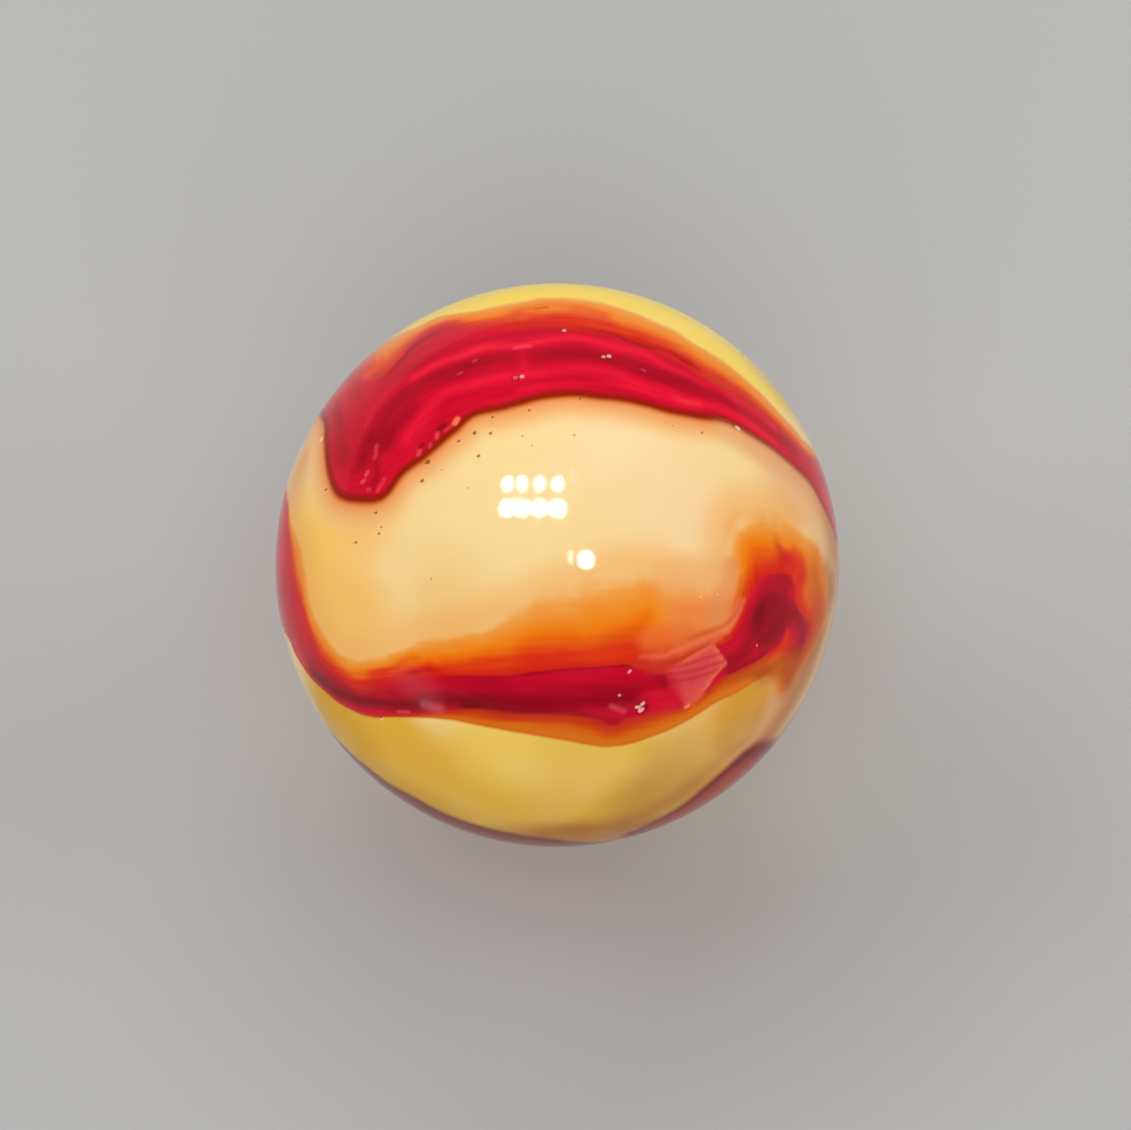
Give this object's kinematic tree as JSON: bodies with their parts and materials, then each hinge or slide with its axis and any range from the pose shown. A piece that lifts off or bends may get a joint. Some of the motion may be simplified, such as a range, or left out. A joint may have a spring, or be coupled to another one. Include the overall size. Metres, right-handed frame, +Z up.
{
  "type": "glass marble",
  "caption": "Solid glass ball with red and orange swirl bands over cream and yellow opaque glass, for games, display, rolling loads or as a weight.",
  "frame": {"origin": "middle of the ball", "axes": "+Z up as the marble lies, -Y towards the viewer, +X to the viewer's right; the side with the main bands looks along -Y and 60 degrees up"},
  "size_m": [0.016, 0.016, 0.016],
  "materials": {
    "swirl_glass": "gloss"
  },
  "bodies": {
    "root": {"marble": "swirl_glass"}
  },
  "joints": []
}
